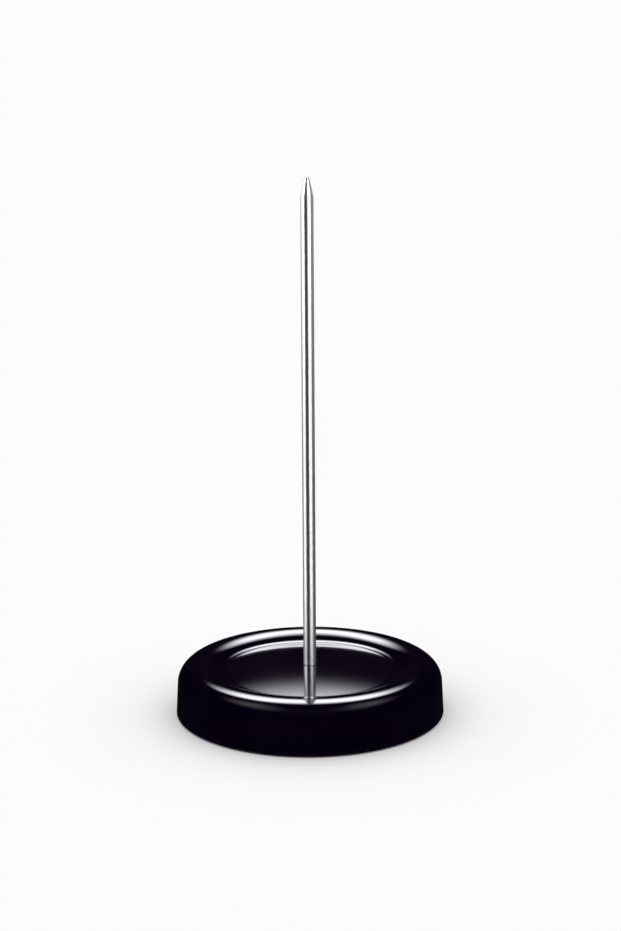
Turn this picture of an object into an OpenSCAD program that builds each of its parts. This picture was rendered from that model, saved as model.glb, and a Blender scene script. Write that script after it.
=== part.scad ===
// Bill spike: a pointed steel rod clamped in a weighted round base with a dished top.
// Millimetres, +Z up. The origin is the centre of the surface that the feet stand on.

/* [Base outside] */
// Diameter of the base at its bottom edge
base_d = 85; // [76:0.5:110]
// Height of the rim above the bottom edge
base_h = 15.9; // [14.5:0.1:22]
// Draft of the outer wall, in degrees
wall_draft = 3; // [0:0.5:5]
// Radius of the shoulder above the outer wall
shoulder_r = 6.05; // [4.5:0.05:7]
// Radius of the rounded rim
rim_r = 9.7; // [7.5:0.1:11.5]
// Angle that the rim turns outwards before the shoulder takes over
rim_turn = 15.5; // [10:0.5:30]
// Break of the bottom edge
edge_break = 0.2; // [0.1:0.1:0.5]

/* [Dish] */
// Steepest slope of the dish wall, in degrees
dish_slope = 34; // [30:1:38]
// Length of the straight stretch on the dish wall
dish_straight = 0.5; // [0.2:0.1:1.2]
// Radius of the hollow at the foot of the dish wall
hollow_r = 3.5; // [2.5:0.1:5]
// Slope at the edge of the raised floor, in degrees
dome_slope = 7.2; // [5:0.1:9]
// Diameter of the flat seat at the centre of the floor
seat_d = 5; // [4.6:0.1:8]

/* [Base inside] */
// Thickness of the skirt at the bottom edge
skirt_wall = 2.7; // [2:0.1:4]
// Width of the ledge that the closing plate sits on
ledge_w = 1.2; // [0.8:0.1:2]
// Thickness of the moulding under the lowest part of the dish
floor_t = 2.4; // [1.8:0.1:3]
// Thickness of the moulding over the groove under the rim
rim_wall = 3.2; // [2.6:0.1:4]
// Width of the groove under the rim
groove_w = 5; // [3:0.5:6]
// Diameter of the screw pillars
pillar_d = 6.4; // [5.6:0.1:7.5]
// Gap between the pillars and the skirt
pillar_gap = 0.9; // [0.5:0.1:2]

/* [Spike] */
// Diameter of the spike
spike_d = 4; // [3.6:0.1:4.4]
// Length of the spike above its seat
spike_l = 154.5; // [100:0.5:200]
// Length of the point
point_l = 6; // [4:0.5:12]
// Radius of the blunted tip
tip_r = 0.8; // [0.4:0.05:1.1]
// Diameter of the threaded tail
tail_d = 3; // [2.6:0.1:3.2]
// Pitch of the tail's thread
thread_pitch = 0.5; // [0.4:0.05:0.7]
// Depth of the tail's thread
thread_depth = 0.27; // [0.2:0.01:0.35]

/* [Ballast and fasteners] */
// Gap between the ballast and the screw pillars
ballast_gap = 1.5; // [0.5:0.1:4]
// Edge chamfer of the ballast
ballast_chamfer = 0.6; // [0.3:0.1:1]
// Diameter of the plain washer
washer_d = 7; // [6.4:0.1:9]
// Thickness of the plain washer
washer_t = 0.6; // [0.4:0.1:1]
// Diameter of the lock washer
lock_d = 6.2; // [5.4:0.1:6.8]
// Thickness of the lock washer
lock_t = 0.8; // [0.6:0.1:1.1]
// Width of the lock washer's split
lock_split = 0.8; // [0.5:0.1:1.2]
// Width of the nut across its flats
nut_af = 5.5; // [5:0.1:6.5]
// Thickness of the nut
nut_t = 2.4; // [1.8:0.1:3]
// Length of the tail below the nut
tail_proud = 0.5; // [0.2:0.1:1]

/* [Closing plate and feet] */
// Thickness of the closing plate
cover_t = 2; // [1.6:0.1:2.6]
// Depth of the closing plate inside the bottom edge
cover_inset = 0.5; // [0.2:0.1:1]
// Diameter of the opening for the nut
access_d = 13; // [10:0.5:20]
// Diameter of the cover screws
screw_d = 2.9; // [2.4:0.1:3.2]
// Length of the cover screws
screw_l = 8; // [6:0.5:9]
// Diameter of the screw heads
head_d = 5.4; // [4.6:0.1:6]
// Width of the cross slots in the screw heads
slot_w = 0.7; // [0.5:0.1:0.9]
// Length of the cross slots in the screw heads
slot_l = 3; // [2:0.1:3.6]
// Depth of the cross slots in the screw heads
slot_depth = 0.8; // [0.4:0.1:1]
// Diameter of the feet
foot_d = 9; // [7:0.5:12]
// Depth of the foot pockets in the closing plate
foot_pocket = 0.8; // [0.4:0.1:1.1]
// Height of the bottom edge above the table
foot_proud = 0.5; // [0.3:0.1:1.5]
// Edge radius of the feet
foot_edge = 0.4; // [0.2:0.1:0.5]
// Distance from the feet to the edge of the closing plate
foot_margin = 2.5; // [1.5:0.5:5]

/* [Fits] */
// Radial clearance of the tail in the base and the washers
tail_fit = 0.1; // [0.05:0.05:0.2]
// Radial clearance of the tail in the ballast
ballast_fit = 0.2; // [0.1:0.05:0.4]
// Radial clearance of threads that are drawn plain
thread_fit = 0.05; // [0.03:0.01:0.1]
// Radial clearance of the closing plate in the skirt
cover_fit = 0.3; // [0.1:0.05:0.5]
// Radial clearance of the feet in their pockets
foot_fit = 0.15; // [0.05:0.05:0.3]
// Height of the tail's end above the table
tail_clear = 1.2; // [0.6:0.1:1.6]
// Spare depth of the pilot holes past the screw tips
pilot_spare = 1; // [0.5:0.1:1.5]

/* [Hidden] */
$fn = 128;
// Cutters run past the faces that they open by this much
cut = 1;
// The screws and the feet stand in turn around the underside
screw_angles = [30, 150, 270];
foot_angles = [90, 210, 330];

// Outside of the base: wall, shoulder, rim, dish wall, hollow and raised floor, each tangent to the next
shell_z = foot_proud;
base_r = base_d / 2;
rim_cz = shell_z + base_h - rim_r;
shoulder_cz = rim_cz + (rim_r - shoulder_r) * cos(rim_turn);
shoulder_cr = base_r - (shoulder_cz - shell_z) * tan(wall_draft) - shoulder_r / cos(wall_draft);
crest_r = shoulder_cr - (rim_r - shoulder_r) * sin(rim_turn);
slope_r = crest_r - rim_r * sin(dish_slope) - dish_straight * cos(dish_slope);
slope_z = rim_cz + rim_r * cos(dish_slope) - dish_straight * sin(dish_slope);
hollow_cr = slope_r - hollow_r * sin(dish_slope);
hollow_cz = slope_z + hollow_r * cos(dish_slope);
dome_edge_r = hollow_cr - hollow_r * sin(dome_slope);
dome_edge_z = hollow_cz - hollow_r * cos(dome_slope);
dome_r = dome_edge_r / sin(dome_slope);
dome_cz = dome_edge_z - dome_r * cos(dome_slope);
seat_angle = acos(seat_d / 2 / dome_r);
seat_z = dome_cz + dome_r * sin(seat_angle);

// Inside of the base
ledge_z = shell_z + cover_inset + cover_t;
recess_r = base_r - skirt_wall;
inner_r = recess_r - ledge_w;
ceiling_z = hollow_cz - hollow_r - floor_t;
groove_z = shell_z + base_h - rim_wall;
pillar_pitch_r = inner_r - pillar_gap - pillar_d / 2;
tail_hole_d = tail_d + 2 * tail_fit;

// Stack under the ceiling: ballast, plain washer, lock washer, nut, end of the tail
tail_z = tail_clear;
nut_z = tail_z + tail_proud;
lock_z = nut_z + nut_t;
washer_z = lock_z + lock_t;
ballast_z = washer_z + washer_t;
ballast_r = pillar_pitch_r - pillar_d / 2 - ballast_gap;

// Closing plate, screws and feet
cover_z = shell_z + cover_inset;
cover_r = recess_r - cover_fit;
screw_hole_d = screw_d + 2 * thread_fit;
head_h = (head_d - screw_d) / 2;
foot_pitch_r = cover_r - foot_margin - foot_d / 2;

// Point of the spike: a cone tangent to the round tip
point_z = seat_z + spike_l - point_l;
tip_cz = seat_z + spike_l - tip_r;
point_angle = atan(spike_d / 2 / (tip_cz - point_z)) - asin(tip_r / norm([spike_d / 2, tip_cz - point_z]));
thread_turns = floor((ballast_z - tail_z) / thread_pitch);

// Points along an arc about a centre, from one angle to another
function arc(centre, r, from, to, steps) =
    [for (i = [0:steps]) let (a = from + (to - from) * i / steps) centre + r * [cos(a), sin(a)]];

// Zigzag of a thread, from its lower end up
function thread_points(r, z) =
    [for (i = [0:thread_turns - 1], p = [[r - thread_depth, 0], [r, thread_pitch / 2]])
        [p[0], z + i * thread_pitch + p[1]]];

module around(angles, pitch_r) {
    for (a = angles)
        rotate(a)
            translate([pitch_r, 0, 0])
                children();
}

module ring(outer_d, inner_d, height) {
    difference() {
        cylinder(d = outer_d, h = height);
        translate([0, 0, -cut])
            cylinder(d = inner_d, h = height + 2 * cut);
    }
}

module shell_body() {
    rotate_extrude()
        polygon(concat(
            [[0, shell_z],
             [base_r - edge_break, shell_z],
             [base_r - edge_break * tan(wall_draft), shell_z + edge_break]],
            arc([shoulder_cr, shoulder_cz], shoulder_r, wall_draft, 90 - rim_turn, 16),
            arc([crest_r, rim_cz], rim_r, 90 - rim_turn, 90 + dish_slope, 16),
            arc([hollow_cr, hollow_cz], hollow_r, dish_slope - 90, -dome_slope - 90, 12),
            arc([0, dome_cz], dome_r, 90 - dome_slope, seat_angle, 12),
            [[0, seat_z]]));
}

module shell_cavity() {
    rotate_extrude()
        polygon([
            [0, shell_z - cut],
            [recess_r, shell_z - cut],
            [recess_r, ledge_z],
            [inner_r, ledge_z],
            [inner_r, ceiling_z],
            [crest_r + groove_w / 2, ceiling_z],
            [crest_r + groove_w / 2, groove_z],
            [crest_r - groove_w / 2, groove_z],
            [crest_r - groove_w / 2, ceiling_z],
            [0, ceiling_z]]);
}

module base_shell() {
    color([0.03, 0.02, 0.05])
        difference() {
            union() {
                difference() {
                    shell_body();
                    shell_cavity();
                }
                around(screw_angles, pillar_pitch_r)
                    translate([0, 0, ledge_z])
                        cylinder(d = pillar_d, h = groove_z + cut / 2 - ledge_z);
            }
            translate([0, 0, ceiling_z - cut])
                cylinder(d = tail_hole_d, h = seat_z - ceiling_z + 2 * cut);
            around(screw_angles, pillar_pitch_r)
                translate([0, 0, ledge_z - cut])
                    cylinder(d = screw_hole_d, h = cover_z + screw_l + pilot_spare - ledge_z + cut);
        }
}

module spike() {
    color([0.75, 0.75, 0.76])
        rotate_extrude()
            polygon(concat(
                [[0, tail_z]],
                thread_points(tail_d / 2, tail_z),
                [[tail_d / 2, tail_z + thread_turns * thread_pitch],
                 [tail_d / 2, seat_z],
                 [spike_d / 2, seat_z],
                 [spike_d / 2, point_z]],
                arc([0, tip_cz], tip_r, point_angle, 90, 10)));
}

module ballast_disc() {
    color([0.55, 0.56, 0.58])
        difference() {
            rotate_extrude()
                polygon([
                    [0, ballast_z],
                    [ballast_r - ballast_chamfer, ballast_z],
                    [ballast_r, ballast_z + ballast_chamfer],
                    [ballast_r, ceiling_z - ballast_chamfer],
                    [ballast_r - ballast_chamfer, ceiling_z],
                    [0, ceiling_z]]);
            translate([0, 0, ballast_z - cut])
                cylinder(d = tail_d + 2 * ballast_fit, h = ceiling_z - ballast_z + 2 * cut);
        }
}

module spike_washer() {
    color([0.72, 0.73, 0.7])
        translate([0, 0, washer_z])
            ring(washer_d, tail_hole_d, washer_t);
}

module spike_lock_washer() {
    color([0.66, 0.67, 0.66])
        translate([0, 0, lock_z])
            difference() {
                ring(lock_d, tail_hole_d, lock_t);
                translate([0, -lock_split / 2, -cut])
                    cube([lock_d, lock_split, lock_t + 2 * cut]);
            }
}

module spike_nut() {
    nut_corner_r = nut_af / 2 / cos(30);
    nut_bevel = (nut_corner_r - nut_af / 2) * tan(30);
    color([0.72, 0.73, 0.7])
        translate([0, 0, nut_z])
            difference() {
                intersection() {
                    cylinder(r = nut_corner_r, h = nut_t, $fn = 6);
                    rotate_extrude()
                        polygon([
                            [0, 0],
                            [nut_af / 2, 0],
                            [nut_corner_r, nut_bevel],
                            [nut_corner_r, nut_t - nut_bevel],
                            [nut_af / 2, nut_t],
                            [0, nut_t]]);
                }
                translate([0, 0, -cut])
                    cylinder(d = tail_d + 2 * thread_fit, h = nut_t + 2 * cut);
            }
}

module base_cover() {
    color([0.08, 0.08, 0.09])
        translate([0, 0, cover_z])
            difference() {
                ring(2 * cover_r, access_d, cover_t);
                around(screw_angles, pillar_pitch_r) {
                    translate([0, 0, -cut])
                        cylinder(d = screw_hole_d, h = cover_t + 2 * cut);
                    cylinder(d1 = head_d, d2 = screw_d, h = head_h);
                }
                around(foot_angles, foot_pitch_r)
                    translate([0, 0, -cut])
                        cylinder(d = foot_d + 2 * foot_fit, h = foot_pocket + cut);
            }
}

module cover_screw() {
    difference() {
        union() {
            cylinder(d1 = head_d, d2 = screw_d, h = head_h);
            translate([0, 0, head_h])
                cylinder(d = screw_d, h = screw_l - head_h - screw_d / 2);
            translate([0, 0, screw_l - screw_d / 2])
                cylinder(d1 = screw_d, d2 = 0, h = screw_d / 2);
        }
        for (a = [0, 90])
            rotate(a)
                translate([-slot_l / 2, -slot_w / 2, -cut])
                    cube([slot_l, slot_w, slot_depth + cut]);
    }
}

module cover_screws() {
    color([0.7, 0.7, 0.72])
        around(screw_angles, pillar_pitch_r)
            translate([0, 0, cover_z])
                cover_screw();
}

module foot(number) {
    color([0.2, 0.2, 0.21])
        around([foot_angles[number - 1]], foot_pitch_r)
            rotate_extrude()
                polygon(concat(
                    [[0, 0]],
                    arc([foot_d / 2 - foot_edge, foot_edge], foot_edge, -90, 0, 6),
                    [[foot_d / 2, cover_z + foot_pocket],
                     [0, cover_z + foot_pocket]]));
}

base_shell();
spike();
ballast_disc();
spike_washer();
spike_lock_washer();
spike_nut();
base_cover();
cover_screws();
foot(1);  // foot_1
foot(2);  // foot_2
foot(3);  // foot_3
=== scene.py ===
"""Looks of a bill spike: a polished steel rod in a gloss black, weighted base, on a pale table.

Lengths of the part are in millimetres and are turned into metres when a mesh or a texture is made.
Lengths of the studio and the camera are in metres.
"""
import math

import bpy
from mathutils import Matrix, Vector


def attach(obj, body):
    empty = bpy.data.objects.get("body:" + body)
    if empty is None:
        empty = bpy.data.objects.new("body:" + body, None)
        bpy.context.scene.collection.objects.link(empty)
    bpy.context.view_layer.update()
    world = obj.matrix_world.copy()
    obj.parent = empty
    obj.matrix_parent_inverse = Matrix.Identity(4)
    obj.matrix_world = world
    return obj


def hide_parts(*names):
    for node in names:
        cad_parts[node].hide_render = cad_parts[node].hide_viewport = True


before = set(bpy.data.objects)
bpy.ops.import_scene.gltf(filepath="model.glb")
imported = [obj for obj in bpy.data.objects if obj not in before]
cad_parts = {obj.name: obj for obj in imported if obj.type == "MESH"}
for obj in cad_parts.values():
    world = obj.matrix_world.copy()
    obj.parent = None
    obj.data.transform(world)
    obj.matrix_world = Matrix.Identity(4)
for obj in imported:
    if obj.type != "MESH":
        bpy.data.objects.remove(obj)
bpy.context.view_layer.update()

MM = 0.001
QUARTER = math.pi / 2
BODY = "root"

# Base, as in the solids: wall, shoulder, rim, dish wall, hollow and raised floor
BASE_R = 42.5
BASE_H = 15.9
LIFT = 0.5
WALL_DRAFT = math.radians(3)
SHOULDER_R = 6.05
RIM_R = 9.7
RIM_TURN = math.radians(15.5)
DISH_SLOPE = math.radians(34)
DISH_STRAIGHT = 0.5
HOLLOW_R = 3.5
DOME_SLOPE = math.radians(7.2)
SEAT_R = 2.5
EDGE_R = 0.2

# Inside of the base: skirt, ledge of the closing plate, groove under the rim, screw pillars
SKIRT_WALL = 2.7
LEDGE_W = 1.2
LEDGE_H = 2.5
FLOOR_T = 2.4
RIM_WALL = 3.2
GROOVE_W = 5.0
PILLAR_R = 3.2
PILLAR_GAP = 0.9
PILLAR_ROOT = 0.5
PILLAR_ANGLES = [math.radians(a) for a in (30, 150, 270)]
PILOT_R = 1.5
PILOT_H = 9.5

# Spike: shank, ground point, round tip, shoulder and threaded tail
SPIKE_R = 2.0
SPIKE_L = 154.5
POINT_L = 6.0
TIP_R = 0.8
TAIL_R = 1.5
TAIL_Z = 1.2
TAIL_HOLE_R = 1.6
TAIL_CHAMFER = 0.3
FOOT_CHAMFER = 0.15
THREAD_PITCH = 0.5
THREAD_DEPTH = 0.27
THREAD_TOP = 6.0

# Fineness of the turned meshes
BASE_SEGMENTS = 256
SPIKE_SEGMENTS = 96
PILLAR_SEGMENTS = 48
ARC_STEPS = 40
EDGE_STEPS = 6
HOLLOW_STEPS = 28
TIP_STEPS = 16
SHANK_ROWS = 24
ROWS_PER_TURN = 10
SHARP = math.radians(35)
SPIKE_SHARP = math.radians(8)
TINY = 1e-6


# Turned meshes

def arc(centre, radius, start, end, steps):
    """Points (r, z) along an arc about a centre, angles in radians."""
    points = []
    for i in range(steps + 1):
        angle = start + (end - start) * i / steps
        points.append((centre[0] + radius * math.cos(angle), centre[1] + radius * math.sin(angle)))
    return points


def ring(r, z, segments, reshape):
    """Points of one row of a turned mesh, or one point where the row lies on the axis."""
    if r < TINY:
        return [(0.0, 0.0, z * MM)]
    points = []
    for k in range(segments):
        angle = 2 * math.pi * k / segments
        radius = reshape(r, z, angle) if reshape else r
        points.append((radius * math.cos(angle) * MM, radius * math.sin(angle) * MM, z * MM))
    return points


def band(low, high, segments):
    """Faces between two rows of point numbers. A row of one point makes a fan."""
    faces = []
    for k in range(segments):
        nxt = (k + 1) % segments
        if len(low) == 1:
            faces.append((low[0], high[nxt], high[k]))
        elif len(high) == 1:
            faces.append((low[k], low[nxt], high[0]))
        else:
            faces.append((low[k], low[nxt], high[nxt], high[k]))
    return faces


def lathe(profile, segments, closed, reshape=None):
    """Vertices and faces of a profile turned about Z. A closed profile makes a ring; an open one
    starts and ends on the axis. reshape(r, z, angle) may change a point's radius."""
    verts, faces, rows = [], [], []
    for r, z in profile:
        points = ring(r, z, segments, reshape)
        rows.append(range(len(verts), len(verts) + len(points)))
        verts += points
    pairs = list(zip(rows, rows[1:]))
    if closed:
        pairs.append((rows[-1], rows[0]))
    for low, high in pairs:
        faces += band(low, high, segments)
    return verts, faces


def mesh_object(name, verts, faces, sharp=SHARP):
    """A smooth-shaded object whose edges stay crisp where its faces turn sharply."""
    mesh = bpy.data.meshes.new(name)
    mesh.from_pydata(verts, [], faces)
    mesh.validate()
    mesh.update()
    mesh.shade_smooth()
    mesh.set_sharp_from_angle(angle=sharp)
    obj = bpy.data.objects.new(name, mesh)
    bpy.context.scene.collection.objects.link(obj)
    return obj


def base_levels():
    """Radii and heights that follow from the base's driving sizes."""
    rim_z = LIFT + BASE_H - RIM_R
    shoulder_z = rim_z + (RIM_R - SHOULDER_R) * math.cos(RIM_TURN)
    shoulder_r = (BASE_R - (shoulder_z - LIFT) * math.tan(WALL_DRAFT)
                  - SHOULDER_R / math.cos(WALL_DRAFT))
    crest_r = shoulder_r - (RIM_R - SHOULDER_R) * math.sin(RIM_TURN)
    slope_r = crest_r - RIM_R * math.sin(DISH_SLOPE) - DISH_STRAIGHT * math.cos(DISH_SLOPE)
    slope_z = rim_z + RIM_R * math.cos(DISH_SLOPE) - DISH_STRAIGHT * math.sin(DISH_SLOPE)
    hollow = (slope_r - HOLLOW_R * math.sin(DISH_SLOPE), slope_z + HOLLOW_R * math.cos(DISH_SLOPE))
    dome_r = (hollow[0] - HOLLOW_R * math.sin(DOME_SLOPE)) / math.sin(DOME_SLOPE)
    dome_z = hollow[1] - HOLLOW_R * math.cos(DOME_SLOPE) - dome_r * math.cos(DOME_SLOPE)
    return {
        "rim": (crest_r, rim_z),
        "shoulder": (shoulder_r, shoulder_z),
        "hollow": hollow,
        "dome_r": dome_r,
        "dome_z": dome_z,
        "seat_z": dome_z + math.sqrt(dome_r ** 2 - SEAT_R ** 2),
        "ceiling": hollow[1] - HOLLOW_R - FLOOR_T,
        "groove": LIFT + BASE_H - RIM_WALL,
        "recess_r": BASE_R - SKIRT_WALL,
        "inner_r": BASE_R - SKIRT_WALL - LEDGE_W,
    }


LEVEL = base_levels()
SEAT_Z = LEVEL["seat_z"]
POINT_Z = SEAT_Z + SPIKE_L - POINT_L


def shell_profile():
    """Closed outline of the moulded base, from the bottom edge over the dish and back inside."""
    crest_r = LEVEL["rim"][0]
    seat_turn = math.acos(SEAT_R / LEVEL["dome_r"])
    ledge_z = LIFT + LEDGE_H
    return (
        arc((BASE_R - EDGE_R, LIFT + EDGE_R), EDGE_R, -QUARTER, WALL_DRAFT, EDGE_STEPS)
        + arc(LEVEL["shoulder"], SHOULDER_R, WALL_DRAFT, QUARTER - RIM_TURN, ARC_STEPS)
        + arc(LEVEL["rim"], RIM_R, QUARTER - RIM_TURN, QUARTER + DISH_SLOPE, ARC_STEPS)[1:]
        + arc(LEVEL["hollow"], HOLLOW_R, DISH_SLOPE - QUARTER, -DOME_SLOPE - QUARTER, HOLLOW_STEPS)
        + arc((0, LEVEL["dome_z"]), LEVEL["dome_r"], QUARTER - DOME_SLOPE, seat_turn, ARC_STEPS)[1:]
        + [(TAIL_HOLE_R, SEAT_Z),
           (TAIL_HOLE_R, LEVEL["ceiling"]),
           (crest_r - GROOVE_W / 2, LEVEL["ceiling"]),
           (crest_r - GROOVE_W / 2, LEVEL["groove"]),
           (crest_r + GROOVE_W / 2, LEVEL["groove"]),
           (crest_r + GROOVE_W / 2, LEVEL["ceiling"]),
           (LEVEL["inner_r"], LEVEL["ceiling"]),
           (LEVEL["inner_r"], ledge_z),
           (LEVEL["recess_r"], ledge_z),
           (LEVEL["recess_r"], LIFT)])


def pillar(angle):
    """One screw pillar with its blind pilot hole, which runs up into the groove's roof."""
    low = LIFT + LEDGE_H
    high = LEVEL["groove"] + PILLAR_ROOT
    profile = [(0, LIFT + PILOT_H), (PILOT_R, LIFT + PILOT_H), (PILOT_R, low), (PILLAR_R, low),
               (PILLAR_R, high), (0, high)]
    verts, faces = lathe(profile, PILLAR_SEGMENTS, closed=False)
    piece = mesh_object("pillar", verts, faces)
    pitch_r = (LEVEL["inner_r"] - PILLAR_GAP - PILLAR_R) * MM
    piece.location = (pitch_r * math.cos(angle), pitch_r * math.sin(angle), 0)
    return piece


def fuse(piece, additions):
    """Joins other solids to a piece, as one closed mesh."""
    for solid in additions:
        union = piece.modifiers.new(solid.name, "BOOLEAN")
        union.operation = "UNION"
        union.solver = "EXACT"
        union.object = solid
    graph = bpy.context.evaluated_depsgraph_get()
    fused = bpy.data.meshes.new_from_object(piece.evaluated_get(graph))
    piece.modifiers.clear()
    piece.data = fused
    fused.set_sharp_from_angle(angle=SHARP)
    for solid in additions:
        bpy.data.objects.remove(solid)


def base_shell():
    """The moulded base with its screw pillars."""
    verts, faces = lathe(shell_profile(), BASE_SEGMENTS, closed=True)
    shell = mesh_object("moulded_base", verts, faces)
    fuse(shell, [pillar(angle) for angle in PILLAR_ANGLES])
    return shell


def thread_radius(r, z, angle):
    """Radius on the spike, with the helical thread cut into the end of its tail."""
    if abs(r - TAIL_R) > TINY or z > THREAD_TOP:
        return r
    phase = (z / THREAD_PITCH - angle / (2 * math.pi)) % 1
    run_out = min(1.0, (THREAD_TOP - z) / THREAD_PITCH)
    return r - THREAD_DEPTH * abs(2 * phase - 1) * run_out


def column(r, low, high, rows):
    """Points up a straight stretch of radius r, in equal rows."""
    return [(r, low + (high - low) * i / rows) for i in range(rows + 1)]


def spike():
    """The rod: chamfered threaded tail, shoulder on the seat, plain shank, ground point, round tip."""
    tip_z = SEAT_Z + SPIKE_L - TIP_R
    reach = tip_z - POINT_Z
    lean = math.atan(SPIKE_R / reach) - math.asin(TIP_R / math.hypot(SPIKE_R, reach))
    thread_z = TAIL_Z + TAIL_CHAMFER
    thread_rows = round((THREAD_TOP - thread_z) / THREAD_PITCH * ROWS_PER_TURN)
    profile = (
        [(0, TAIL_Z), (TAIL_R - TAIL_CHAMFER - THREAD_DEPTH / 2, TAIL_Z)]
        + column(TAIL_R, thread_z, THREAD_TOP, thread_rows)
        + [(TAIL_R, SEAT_Z), (SPIKE_R - FOOT_CHAMFER, SEAT_Z)]
        + column(SPIKE_R, SEAT_Z + FOOT_CHAMFER, POINT_Z, SHANK_ROWS)
        + arc((0, tip_z), TIP_R, lean, QUARTER, TIP_STEPS)[:-1]
        + [(0, tip_z + TIP_R)])
    verts, faces = lathe(profile, SPIKE_SEGMENTS, closed=False, reshape=thread_radius)
    return mesh_object("steel_spike", verts, faces, SPIKE_SHARP)


# Materials: colours are linear, and a pair of colours is the clean and the worn or shaded one

GLOSS_BLACK = (0.0021, 0.0002, 0.0054)
SCUFFED_BLACK = (0.022, 0.02, 0.026)
STEEL = (0.74, 0.74, 0.75)
STEEL_PAIR = ((0.76, 0.76, 0.77), (0.66, 0.66, 0.66))
ZINC_PAIR = ((0.62, 0.63, 0.62), (0.5, 0.51, 0.52))
SPRING_PAIR = ((0.5, 0.5, 0.49), (0.38, 0.38, 0.38))
SCREW_PAIR = ((0.6, 0.6, 0.6), (0.46, 0.46, 0.47))
MATT_BLACK = (0.02, 0.02, 0.022)
MATT_PAIR = ((0.017, 0.017, 0.019), (0.035, 0.035, 0.036))
RUBBER_PAIR = ((0.045, 0.045, 0.047), (0.1, 0.098, 0.095))
BALLAST = (0.45, 0.46, 0.48)
BALLAST_PAIR = ((0.48, 0.49, 0.51), (0.36, 0.37, 0.38))

# Where a finish changes: the dish floor that paper dulls, the base's scuffed bottom edge, the grinding
# from just under the point's start, and the worn soles
DULL_R = 25.0
DULL_EDGE = 2.0
SCUFF_HEIGHTS = (0.4, 2.2)
GRIND_START = (-0.2, 0.1)
SOLE_HEIGHTS = (0.0, 0.15)

# Repeats of the ballast's facing rings per metre
BALLAST_RINGS = 5200


def math_node(tree, operation, first, second, clamp=False):
    """Output of a Math node. Each of its inputs is a number or the output of another node."""
    node = tree.nodes.new("ShaderNodeMath")
    node.operation = operation
    node.use_clamp = clamp
    for socket, source in zip(node.inputs, (first, second)):
        if isinstance(source, (int, float)):
            socket.default_value = source
        else:
            tree.links.new(source, socket)
    return node.outputs["Value"]


class Finish:
    """A node material around one Principled shader, with short helpers for its textures. The colour and
    roughness that it starts with show wherever no texture drives them."""

    def __init__(self, name, colour, metallic, roughness):
        self.material = bpy.data.materials.new(name)
        self.material.use_nodes = True
        self.tree = self.material.node_tree
        self.shader = self.tree.nodes["Principled BSDF"]
        self.set("Base Color", (*colour, 1))
        self.set("Metallic", metallic)
        self.set("Roughness", roughness)
        self.material.diffuse_color = (*colour, 1)
        self.place = self.add("ShaderNodeTexCoord").outputs["Object"]

    def add(self, kind, **settings):
        node = self.tree.nodes.new(kind)
        for key, value in settings.items():
            setattr(node, key, value)
        return node

    def set(self, socket, value):
        self.shader.inputs[socket].default_value = value

    def drive(self, socket, source):
        self.tree.links.new(source, self.shader.inputs[socket])

    def noise(self, repeats, detail=3.0, roughness=0.55):
        """Noise with so many repeats per metre along X, Y and Z."""
        stretch = self.add("ShaderNodeMapping")
        stretch.inputs["Scale"].default_value = repeats
        self.tree.links.new(self.place, stretch.inputs["Vector"])
        node = self.add("ShaderNodeTexNoise")
        node.inputs["Scale"].default_value = 1.0
        node.inputs["Detail"].default_value = detail
        node.inputs["Roughness"].default_value = roughness
        self.tree.links.new(stretch.outputs["Vector"], node.inputs["Vector"])
        return node.outputs["Fac"]

    def height(self):
        """Height over the table."""
        node = self.add("ShaderNodeSeparateXYZ")
        self.tree.links.new(self.place, node.inputs["Vector"])
        return node.outputs["Z"]

    def radius(self):
        """Distance from the part's axis."""
        flat = self.add("ShaderNodeVectorMath", operation="MULTIPLY")
        flat.inputs[1].default_value = (1, 1, 0)
        self.tree.links.new(self.place, flat.inputs[0])
        length = self.add("ShaderNodeVectorMath", operation="LENGTH")
        self.tree.links.new(flat.outputs["Vector"], length.inputs[0])
        return length.outputs["Value"]

    def spread(self, value, source, target):
        """Maps a value from one range to another, clamped and eased."""
        node = self.add("ShaderNodeMapRange", interpolation_type="SMOOTHSTEP")
        for socket, number in zip(("From Min", "From Max", "To Min", "To Max"), (*source, *target)):
            node.inputs[socket].default_value = number
        self.tree.links.new(value, node.inputs["Value"])
        return node.outputs["Result"]

    def math(self, operation, first, second):
        return math_node(self.tree, operation, first, second)

    def blend(self, factor, first, second):
        """Colour that goes from first to second."""
        node = self.add("ShaderNodeMix", data_type="RGBA")
        node.inputs["A"].default_value = (*first, 1)
        node.inputs["B"].default_value = (*second, 1)
        self.tree.links.new(factor, node.inputs["Factor"])
        return node.outputs["Result"]

    def bump(self, height, depth, below=None):
        """Surface normal over a height texture whose depth is in millimetres."""
        node = self.add("ShaderNodeBump")
        node.inputs["Strength"].default_value = 1.0
        node.inputs["Distance"].default_value = depth * MM
        self.tree.links.new(height, node.inputs["Height"])
        if below is not None:
            self.tree.links.new(below, node.inputs["Normal"])
        return node.outputs["Normal"]


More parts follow.
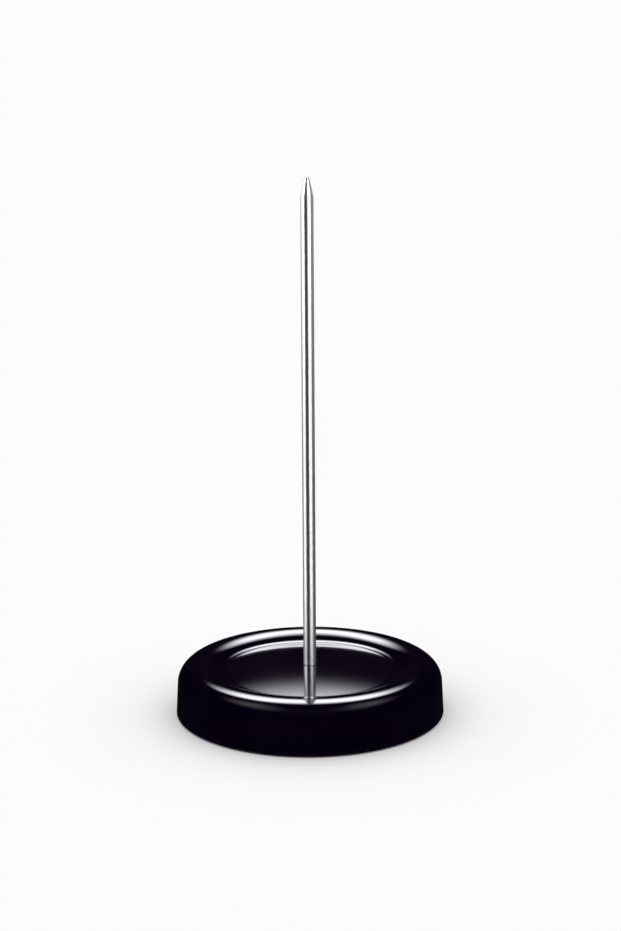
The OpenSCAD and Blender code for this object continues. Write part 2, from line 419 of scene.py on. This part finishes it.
def gloss_black():
    """Polished black moulding: faint orange peel, a dish floor dulled by paper, a scuffed bottom edge."""
    f = Finish("base_plastic_gloss", GLOSS_BLACK, metallic=0.0, roughness=0.08)
    f.set("IOR", 1.45)
    f.set("Coat Weight", 0.4)
    f.set("Coat Roughness", 0.09)
    f.set("Coat IOR", 1.5)
    peel = f.noise((420, 420, 420), detail=2.0)
    smears = f.noise((55, 55, 120), detail=4.0)
    scuffs = f.noise((900, 900, 2600), detail=5.0, roughness=0.7)
    grain = f.noise((2600, 2600, 2600), detail=2.0)
    low_edge = f.spread(f.height(), [z * MM for z in SCUFF_HEIGHTS], (1.0, 0.0))
    worn = f.math("MULTIPLY", low_edge, f.spread(scuffs, (0.5, 0.68), (0.0, 1.0)))
    paper = f.spread(f.radius(), (DULL_R * MM, (DULL_R + DULL_EDGE) * MM), (1.0, 0.0))
    dulled = f.math("MULTIPLY", paper, f.spread(grain, (0.3, 0.7), (0.015, 0.035)))
    polish = f.math("ADD", f.spread(smears, (0.3, 0.7), (0.06, 0.09)), dulled)
    f.drive("Roughness", f.math("ADD", polish, f.math("MULTIPLY", worn, 0.3)))
    f.drive("Base Color", f.blend(worn, GLOSS_BLACK, SCUFFED_BLACK))
    rubbed = f.bump(f.math("MULTIPLY", grain, paper), 0.0005, below=f.bump(peel, 0.0012))
    f.drive("Normal", f.bump(f.math("MULTIPLY", scuffs, low_edge), 0.0006, below=rubbed))
    return f.material


def polished_steel():
    """Drawn and polished rod: fine lines along the shank, grinding rings on the point."""
    f = Finish("spike_steel_polished", STEEL, metallic=1.0, roughness=0.12)
    drawn = f.noise((5200, 5200, 24))
    ground = f.noise((260, 260, 6500))
    marks = f.noise((700, 700, 60), detail=4.0)
    on_point = f.spread(f.height(), [(POINT_Z + z) * MM for z in GRIND_START], (0.0, 1.0))
    off_point = f.math("SUBTRACT", 1.0, on_point)
    lines = f.math("ADD", f.math("MULTIPLY", drawn, off_point), f.math("MULTIPLY", ground, on_point))
    polish = f.spread(marks, (0.35, 0.7), (0.35, 0.39))
    f.drive("Roughness", f.math("ADD", polish, f.math("MULTIPLY", on_point, 0.02)))
    f.drive("Base Color", f.blend(f.spread(marks, (0.45, 0.8), (0.0, 1.0)), *STEEL_PAIR))
    f.drive("Normal", f.bump(lines, 0.00025))
    f.set("Anisotropic", 0.82)
    f.set("Anisotropic Rotation", 0.25)
    around = f.add("ShaderNodeTangent", direction_type="RADIAL", axis="Z")
    f.drive("Tangent", around.outputs["Tangent"])
    return f.material


def plated(name, colours):
    """Zinc plate: cloudy sheen with fine machining marks."""
    f = Finish(name, colours[0], metallic=1.0, roughness=0.28)
    clouds = f.noise((900, 900, 900), detail=4.0)
    grain = f.noise((6000, 6000, 6000), detail=2.0)
    f.drive("Base Color", f.blend(f.spread(clouds, (0.35, 0.7), (0.0, 1.0)), *colours))
    f.drive("Roughness", f.spread(clouds, (0.3, 0.7), (0.2, 0.42)))
    f.drive("Normal", f.bump(grain, 0.002))
    return f.material


def matt_black():
    """Spark-eroded black moulding: fine even grain with paler, dusty patches."""
    f = Finish("cover_plastic_matt", MATT_BLACK, metallic=0.0, roughness=0.5)
    grain = f.noise((5200, 5200, 5200))
    patches = f.noise((160, 160, 160), detail=4.0)
    f.drive("Base Color", f.blend(f.spread(patches, (0.4, 0.75), (0.0, 1.0)), *MATT_PAIR))
    f.drive("Roughness", f.spread(patches, (0.3, 0.7), (0.42, 0.6)))
    f.drive("Normal", f.bump(grain, 0.012))
    return f.material


def rubber():
    """Moulded rubber: matt, slightly mottled, worn paler on the sole."""
    f = Finish("foot_rubber_matt", RUBBER_PAIR[0], metallic=0.0, roughness=0.75)
    f.set("Specular IOR Level", 0.3)
    grain = f.noise((3600, 3600, 3600), detail=4.0)
    mottle = f.noise((700, 700, 700))
    sole = f.spread(f.height(), [z * MM for z in SOLE_HEIGHTS], (1.0, 0.0))
    worn = f.math("MULTIPLY", sole, f.spread(mottle, (0.35, 0.65), (0.2, 1.0)))
    f.drive("Base Color", f.blend(worn, *RUBBER_PAIR))
    f.drive("Roughness", f.spread(mottle, (0.3, 0.7), (0.68, 0.85)))
    f.drive("Normal", f.bump(grain, 0.015))
    return f.material


def turned_zinc():
    """Ballast: facing rings from the lathe under a dull plate."""
    f = Finish("ballast_steel_turned", BALLAST, metallic=1.0, roughness=0.35)
    rings = f.add("ShaderNodeTexNoise", noise_dimensions="1D")
    rings.inputs["Scale"].default_value = BALLAST_RINGS
    f.tree.links.new(f.radius(), rings.inputs["W"])
    clouds = f.noise((300, 300, 300), detail=4.0)
    f.drive("Base Color", f.blend(f.spread(clouds, (0.35, 0.7), (0.0, 1.0)), *BALLAST_PAIR))
    f.drive("Roughness", f.spread(clouds, (0.3, 0.7), (0.28, 0.45)))
    f.drive("Normal", f.bump(rings.outputs["Fac"], 0.004))
    return f.material


def dress(node, material):
    """Gives a carried-over solid its finish."""
    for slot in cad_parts[node].material_slots:
        slot.material = material


def stand_in(piece, node, material):
    """A finer mesh that takes the place of a solid."""
    piece.data.materials.append(material)
    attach(piece, BODY)
    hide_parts(node)


# The object

STEEL_NODES = ("ballast_disc", "spike_washer", "spike_lock_washer", "spike_nut", "cover_screws")
rod = spike()
stand_in(base_shell(), "base_shell", gloss_black())
stand_in(rod, "spike", polished_steel())
steel_pieces = [rod] + [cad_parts[name] for name in STEEL_NODES]
zinc = plated("plated_steel_zinc", ZINC_PAIR)
dress("spike_washer", zinc)
dress("spike_nut", zinc)
dress("spike_lock_washer", plated("spring_steel_zinc", SPRING_PAIR))
dress("cover_screws", plated("screw_steel_zinc", SCREW_PAIR))
dress("ballast_disc", turned_zinc())
dress("base_cover", matt_black())
foot_finish = rubber()
for foot in ("foot_1", "foot_2", "foot_3"):
    dress(foot, foot_finish)


# Studio: a pale table, soft light from above, a rounded softbox behind, a dim halo round the front
# and the sides, and cards that light only the steel

BASE_TOP = 0.016
FLOOR_SIZE = 60.0
FLOOR_COLOUR = 0.95
SKY = 0.005
SUN_STRENGTH = 3.2
SUN_SPREAD = math.radians(150)
SOFTBOX_DISTANCE = 1.5
SOFTBOX_LEAN = math.radians(39.2)
SOFTBOX_R = 0.815
SOFTBOX_HALF_W = 0.6
SOFTBOX_EDGE = 0.3
SOFTBOX_SIDE = -0.02
SOFTBOX_ROUNDING = 0.75
SOFTBOX_COLOUR = (0.97, 0.975, 1.04)
SOFTBOX_FADE = 3.36
SOFTBOX_STRENGTH = 12.2
HALO_DISTANCE = 1.6
HALO_REACH = math.radians(125)
HALO_LEAN = math.radians(31)
HALO_SPREAD = math.radians(19)
HALO_ROWS = 16
HALO_STEPS = 60
HALO_STRENGTH = 0.9
CARD_R = 1.0
CARD_STEPS = 12

# The halo's front: its level, its half width and the width over which it rises to the sides' level;
# the last is the width over which each end fades. Widths are shares of the halo's reach.
HALO_FRONT = 0.06
HALO_FRONT_HALF = 0.2
HALO_RISE = 0.5
HALO_END = 0.25

# Each card: first and last azimuth in degrees, lower and upper edge in metres, strength
CARDS = {
    "card_far_left": (-152, -104, 0.01, 0.5, 1.2),
    "card_left": (-104, -53, 0.2, 0.64, 8.2),
    "card_left_low": (-104, -53, -0.7, -0.05, 1.0),
    "card_front": (-53, 12, 0.01, 0.5, 0.1),
    "card_right": (12, 64, 0.2, 0.64, 7.4),
    "card_right_low": (12, 64, -0.7, -0.05, 1.0),
    "card_far_right": (64, 150, 0.01, 0.5, 0.6),
}


def stage_mesh(name, verts, faces, material):
    """A mesh that belongs to the studio and not to the object."""
    mesh = bpy.data.meshes.new(name)
    mesh.from_pydata(verts, [], faces)
    mesh.materials.append(material)
    obj = bpy.data.objects.new(name, mesh)
    bpy.context.scene.collection.objects.link(obj)
    return obj


def sheet(name, half_x, half_y, material):
    """A flat rectangle of the studio."""
    corners = [(-half_x, -half_y, 0), (half_x, -half_y, 0), (half_x, half_y, 0), (-half_x, half_y, 0)]
    return stage_mesh(name, corners, [(0, 1, 2, 3)], material)


def point_around(radius, azimuth, height):
    """A point round the part. Azimuth 0 is the camera's side, and positive azimuths lie to the right."""
    return (radius * math.sin(azimuth), -radius * math.cos(azimuth), height)


def reflection_only(obj):
    """Shows an object in reflections, and neither to the camera nor as a shadow on the table."""
    obj.visible_camera = False
    obj.visible_diffuse = False
    obj.visible_shadow = False


def floor():
    """The table, which the gloss base and the steel don't mirror."""
    f = Finish("table_pale", (FLOOR_COLOUR,) * 3, metallic=0.0, roughness=0.9)
    f.set("Specular IOR Level", 0.0)
    table = sheet("table", FLOOR_SIZE / 2, FLOOR_SIZE / 2, f.material)
    table.visible_glossy = False


def glow(name, strength):
    """An emission material of even strength, with its tree and its light."""
    material = bpy.data.materials.new(name)
    material.use_nodes = True
    tree = material.node_tree
    tree.nodes.clear()
    light = tree.nodes.new("ShaderNodeEmission")
    light.inputs["Strength"].default_value = strength
    out = tree.nodes.new("ShaderNodeOutputMaterial")
    tree.links.new(light.outputs["Emission"], out.inputs["Surface"])
    return material, tree, light


def graded_glow(name, strength, level_of):
    """An emission material whose strength follows a level from 0 to 1, which level_of(tree) gives."""
    material, tree, light = glow(name, strength)
    material.cycles.emission_sampling = "NONE"
    tree.links.new(math_node(tree, "MULTIPLY", level_of(tree), strength), light.inputs["Strength"])
    return material, light


def softbox_level(tree):
    """Level over the softbox: full in its middle, faded up and down, with rounded, soft sides."""
    place = tree.nodes.new("ShaderNodeTexCoord")
    parts = tree.nodes.new("ShaderNodeSeparateXYZ")
    tree.links.new(place.outputs["Object"], parts.inputs["Vector"])
    height = math_node(tree, "DIVIDE", parts.outputs["Y"], SOFTBOX_R)
    inside = math_node(tree, "SUBTRACT", 1, math_node(tree, "MULTIPLY", height, height), clamp=True)
    side = math_node(tree, "ABSOLUTE", parts.outputs["X"], 0)
    rounding = math_node(tree, "POWER", inside, SOFTBOX_ROUNDING)
    half_width = math_node(tree, "MULTIPLY", rounding, SOFTBOX_HALF_W)
    to_side = math_node(tree, "SUBTRACT", half_width, side)
    flat = math_node(tree, "DIVIDE", to_side, SOFTBOX_EDGE, clamp=True)
    return math_node(tree, "MULTIPLY", math_node(tree, "POWER", inside, SOFTBOX_FADE), flat)


def softbox():
    """A rounded light behind the part, brightest in its middle and faded towards its edges."""
    material, light = graded_glow("softbox_glow", SOFTBOX_STRENGTH, softbox_level)
    light.inputs["Color"].default_value = (*SOFTBOX_COLOUR, 1)
    obj = sheet("softbox", SOFTBOX_HALF_W, SOFTBOX_R, material)
    obj.location = (SOFTBOX_SIDE, SOFTBOX_DISTANCE * math.sin(SOFTBOX_LEAN),
                    BASE_TOP + SOFTBOX_DISTANCE * math.cos(SOFTBOX_LEAN))
    facing = Vector((SOFTBOX_SIDE, 0, BASE_TOP)) - obj.location
    obj.rotation_euler = facing.to_track_quat("Z", "Y").to_euler()
    reflection_only(obj)


def halo_share(across):
    """The halo's level by its place round the part: dim in front, full at the sides, faded at the ends."""
    rise = min(1, max(0, (abs(across) - HALO_FRONT_HALF) / HALO_RISE))
    front = HALO_FRONT + (1 - HALO_FRONT) * rise ** 2 * (3 - 2 * rise)
    return front * min(1, (1 - abs(across)) / HALO_END)


def halo_shape():
    """Points, faces and levels of the halo, which is part of a sphere about the base."""
    verts, faces, levels = [], [], []
    for i in range(HALO_STEPS + 1):
        across = 2 * i / HALO_STEPS - 1
        for j in range(HALO_ROWS + 1):
            up = 2 * j / HALO_ROWS - 1
            lean = HALO_LEAN + HALO_SPREAD * up
            height = BASE_TOP + HALO_DISTANCE * math.cos(lean)
            verts.append(point_around(HALO_DISTANCE * math.sin(lean), HALO_REACH * across, height))
            levels.append(math.cos(up * QUARTER) ** 2 * halo_share(across))
            if i and j:
                corner = i * (HALO_ROWS + 1) + j
                before = corner - HALO_ROWS - 1
                faces.append((before - 1, before, corner, corner - 1))
    return verts, faces, levels


def halo_level(tree):
    """Level that the halo's points carry."""
    level = tree.nodes.new("ShaderNodeAttribute")
    level.attribute_name = "level"
    return level.outputs["Fac"]


def halo():
    """A dim curved light round the front and the sides, which shows the dish from the other sides."""
    verts, faces, levels = halo_shape()
    material = graded_glow("halo_glow", HALO_STRENGTH, halo_level)[0]
    obj = stage_mesh("halo", verts, faces, material)
    obj.data.attributes.new("level", "FLOAT", "POINT").data.foreach_set("value", levels)
    reflection_only(obj)


def card(name, start, end, low, high, strength, receivers):
    """An upright curved card that lights only the receivers."""
    verts, faces = [], []
    for i in range(CARD_STEPS + 1):
        azimuth = math.radians(start + (end - start) * i / CARD_STEPS)
        verts += [point_around(CARD_R, azimuth, height) for height in (low, high)]
        if i:
            faces.append((2 * i - 2, 2 * i - 1, 2 * i + 1, 2 * i))
    material = glow(name + "_glow", strength)[0]
    obj = stage_mesh(name, verts, faces, material)
    reflection_only(obj)
    obj.light_linking.receiver_collection = receivers


def cards():
    """The cards round the part, for its steel pieces."""
    receivers = bpy.data.collections.new("steel")
    for obj in steel_pieces:
        receivers.objects.link(obj)
    for name, (start, end, low, high, strength) in CARDS.items():
        card(name, start, end, low, high, strength, receivers)


def sun():
    """Soft light from above, which casts the shadow on the table."""
    light = bpy.data.lights.new("soft_sun", "SUN")
    light.energy = SUN_STRENGTH
    light.angle = SUN_SPREAD
    obj = bpy.data.objects.new("soft_sun", light)
    obj.visible_glossy = False
    bpy.context.scene.collection.objects.link(obj)


def sky():
    """A nearly black surround."""
    world = bpy.data.worlds.new("studio")
    world.use_nodes = True
    world.node_tree.nodes["Background"].inputs["Color"].default_value = (SKY, SKY, SKY, 1)
    bpy.context.scene.world = world


# Camera: fitted to the outline of the base and the spike in the photograph

CAMERA_DISTANCE = 0.700
CAMERA_ELEVATION = math.radians(13.54)
CAMERA_AIM = (0.0006, 0, 0.08038)
CAMERA_ROLL = math.radians(0.36)
CAMERA_LENS = 87.08
CAMERA_SENSOR = 36
CAMERA_CLIP = (0.01, 100)


def camera():
    """The camera at the photograph's viewing angle."""
    data = bpy.data.cameras.new("camera")
    data.sensor_width = CAMERA_SENSOR
    data.lens = CAMERA_LENS
    data.clip_start, data.clip_end = CAMERA_CLIP
    obj = bpy.data.objects.new("camera", data)
    bpy.context.scene.collection.objects.link(obj)
    obj.location = (CAMERA_AIM[0],
                    CAMERA_AIM[1] - CAMERA_DISTANCE * math.cos(CAMERA_ELEVATION),
                    CAMERA_AIM[2] + CAMERA_DISTANCE * math.sin(CAMERA_ELEVATION))
    obj.rotation_euler = (QUARTER - CAMERA_ELEVATION, 0, 0)
    obj.rotation_euler.rotate_axis("Z", -CAMERA_ROLL)
    bpy.context.scene.camera = obj


floor()
softbox()
halo()
cards()
sun()
sky()
camera()
bpy.context.scene.view_settings.view_transform = "Standard"
